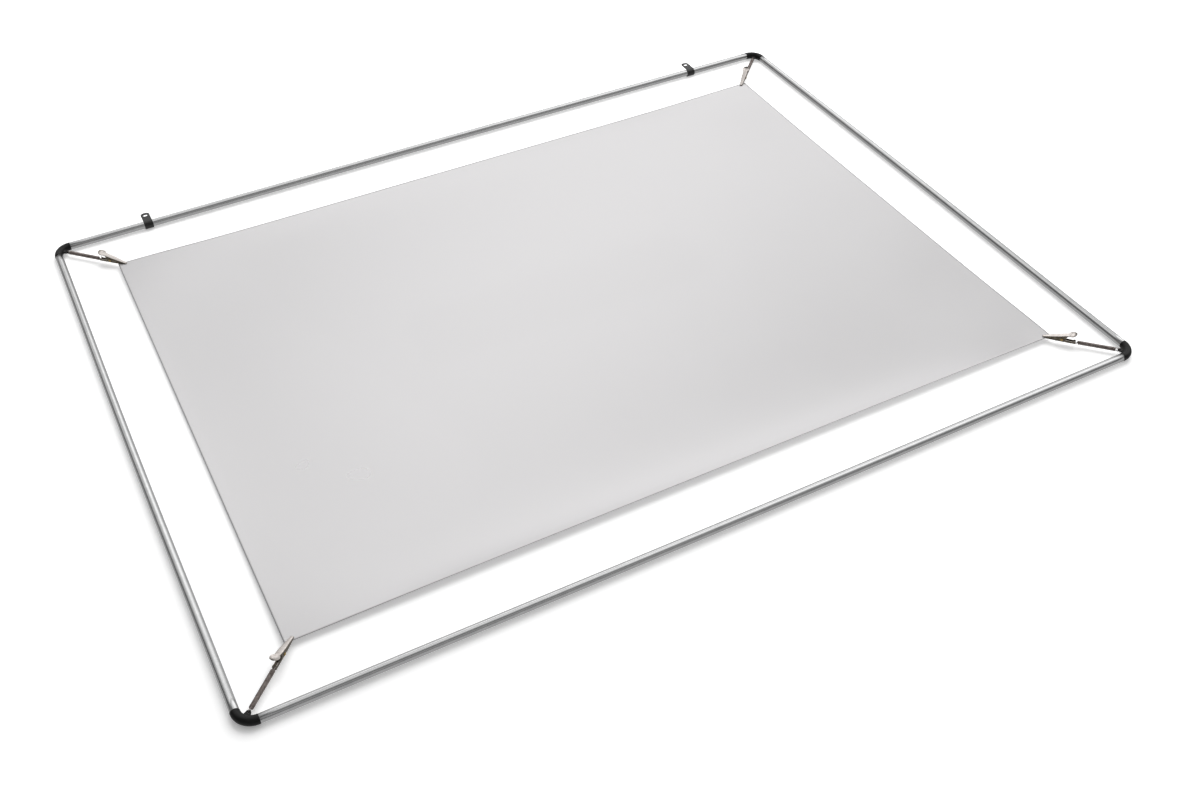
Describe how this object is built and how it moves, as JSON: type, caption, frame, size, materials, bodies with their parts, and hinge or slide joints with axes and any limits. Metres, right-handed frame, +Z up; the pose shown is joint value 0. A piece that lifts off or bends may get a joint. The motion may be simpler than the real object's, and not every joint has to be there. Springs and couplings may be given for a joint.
{
  "type": "tension poster frame",
  "caption": "Flat rectangular tube frame with elbow corners that holds a sheet taut between spring-loaded crocodile clips on its diagonals, with strap hangers on one long side.",
  "frame": {"origin": "middle of the footprint of the whole object, on the floor it lies on", "axes": "+X along the long tubes, +Y across towards the tube that carries the hangers, +Z up out of the sheet's face"},
  "size_m": [0.8014, 0.6198, 0.0137],
  "materials": {
    "tube": "satin anodised, drawn lengthwise",
    "elbow": "black moulded, fine grain with a soft highlight",
    "tension_spring": "brown-grey drawn spring wire",
    "clip": "bright warm nickel plate",
    "pivot_pin": "satin, peened heads",
    "torsion_spring": "dull spring wire",
    "hanger": "black satin enamel",
    "sheet": "light grey satin film"
  },
  "bodies": {
    "frame": {"tube_front": "tube", "tube_right": "tube", "tube_back": "tube", "tube_left": "tube", "elbow_front_left": "elbow", "elbow_front_right": "elbow", "elbow_back_right": "elbow", "elbow_back_left": "elbow", "poster_sheet": "sheet"},
    "spring_front_left": {"tension_spring_front_left": "tension_spring"},
    "clip_front_left": {"clip_lower_jaw_front_left": "clip", "clip_pivot_pin_front_left": "pivot_pin", "clip_torsion_spring_front_left": "torsion_spring"},
    "jaw_front_left": {"clip_upper_jaw_front_left": "clip"},
    "spring_front_right": {"tension_spring_front_right": "tension_spring"},
    "clip_front_right": {"clip_lower_jaw_front_right": "clip", "clip_pivot_pin_front_right": "pivot_pin", "clip_torsion_spring_front_right": "torsion_spring"},
    "jaw_front_right": {"clip_upper_jaw_front_right": "clip"},
    "spring_back_right": {"tension_spring_back_right": "tension_spring"},
    "clip_back_right": {"clip_lower_jaw_back_right": "clip", "clip_pivot_pin_back_right": "pivot_pin", "clip_torsion_spring_back_right": "torsion_spring"},
    "jaw_back_right": {"clip_upper_jaw_back_right": "clip"},
    "spring_back_left": {"tension_spring_back_left": "tension_spring"},
    "clip_back_left": {"clip_lower_jaw_back_left": "clip", "clip_pivot_pin_back_left": "pivot_pin", "clip_torsion_spring_back_left": "torsion_spring"},
    "jaw_back_left": {"clip_upper_jaw_back_left": "clip"},
    "hanger_left": {"hanger_left": "hanger"},
    "hanger_right": {"hanger_right": "hanger"}
  },
  "joints": [
    {"name": "spring_swing_front_left", "type": "hinge", "parent": "frame", "child": "spring_front_left", "pos_m": [-0.38901, -0.29826, 0.0043], "axis": [0, 0, 1], "range_deg": [-8, 8]},
    {"name": "spring_stretch_front_left", "type": "slide", "parent": "spring_front_left", "child": "clip_front_left", "axis": [0.7071, 0.7071, 0], "range_m": [0, 0.005], "stiffness_N_per_m": 900, "springref_m": -0.003, "deforming": ["tension_spring_front_left"]},
    {"name": "jaw_open_front_left", "type": "hinge", "parent": "clip_front_left", "child": "jaw_front_left", "pos_m": [-0.35422, -0.26347, 0.0062], "axis": [0.7071, -0.7071, 0], "range_deg": [0, 25], "stiffness_Nm_per_rad": 0.05, "springref_deg": -28.65, "deforming": ["clip_torsion_spring_front_left"]},
    {"name": "spring_swing_front_right", "type": "hinge", "parent": "frame", "child": "spring_front_right", "pos_m": [0.38901, -0.29826, 0.0043], "axis": [0, 0, 1], "range_deg": [-8, 8]},
    {"name": "spring_stretch_front_right", "type": "slide", "parent": "spring_front_right", "child": "clip_front_right", "axis": [-0.7071, 0.7071, 0], "range_m": [0, 0.005], "stiffness_N_per_m": 900, "springref_m": -0.003, "deforming": ["tension_spring_front_right"]},
    {"name": "jaw_open_front_right", "type": "hinge", "parent": "clip_front_right", "child": "jaw_front_right", "pos_m": [0.35422, -0.26347, 0.0062], "axis": [0.7071, 0.7071, 0], "range_deg": [0, 25], "stiffness_Nm_per_rad": 0.05, "springref_deg": -28.65, "deforming": ["clip_torsion_spring_front_right"]},
    {"name": "spring_swing_back_right", "type": "hinge", "parent": "frame", "child": "spring_back_right", "pos_m": [0.38901, 0.28776, 0.0043], "axis": [0, 0, 1], "range_deg": [-8, 8]},
    {"name": "spring_stretch_back_right", "type": "slide", "parent": "spring_back_right", "child": "clip_back_right", "axis": [-0.7071, -0.7071, 0], "range_m": [0, 0.005], "stiffness_N_per_m": 900, "springref_m": -0.003, "deforming": ["tension_spring_back_right"]},
    {"name": "jaw_open_back_right", "type": "hinge", "parent": "clip_back_right", "child": "jaw_back_right", "pos_m": [0.35422, 0.25297, 0.0062], "axis": [-0.7071, 0.7071, 0], "range_deg": [0, 25], "stiffness_Nm_per_rad": 0.05, "springref_deg": -28.65, "deforming": ["clip_torsion_spring_back_right"]},
    {"name": "spring_swing_back_left", "type": "hinge", "parent": "frame", "child": "spring_back_left", "pos_m": [-0.38901, 0.28776, 0.0043], "axis": [0, 0, 1], "range_deg": [-8, 8]},
    {"name": "spring_stretch_back_left", "type": "slide", "parent": "spring_back_left", "child": "clip_back_left", "axis": [0.7071, -0.7071, 0], "range_m": [0, 0.005], "stiffness_N_per_m": 900, "springref_m": -0.003, "deforming": ["tension_spring_back_left"]},
    {"name": "jaw_open_back_left", "type": "hinge", "parent": "clip_back_left", "child": "jaw_back_left", "pos_m": [-0.35422, 0.25297, 0.0062], "axis": [-0.7071, -0.7071, 0], "range_deg": [0, 25], "stiffness_Nm_per_rad": 0.05, "springref_deg": -28.65, "deforming": ["clip_torsion_spring_back_left"]},
    {"name": "hanger_turn_left", "type": "hinge", "parent": "frame", "child": "hanger_left", "pos_m": [-0.3085, 0.29575, 0.0043], "axis": [1, 0, 0], "continuous": true},
    {"name": "hanger_turn_right", "type": "hinge", "parent": "frame", "child": "hanger_right", "pos_m": [0.3085, 0.29575, 0.0043], "axis": [1, 0, 0], "continuous": true}
  ]
}
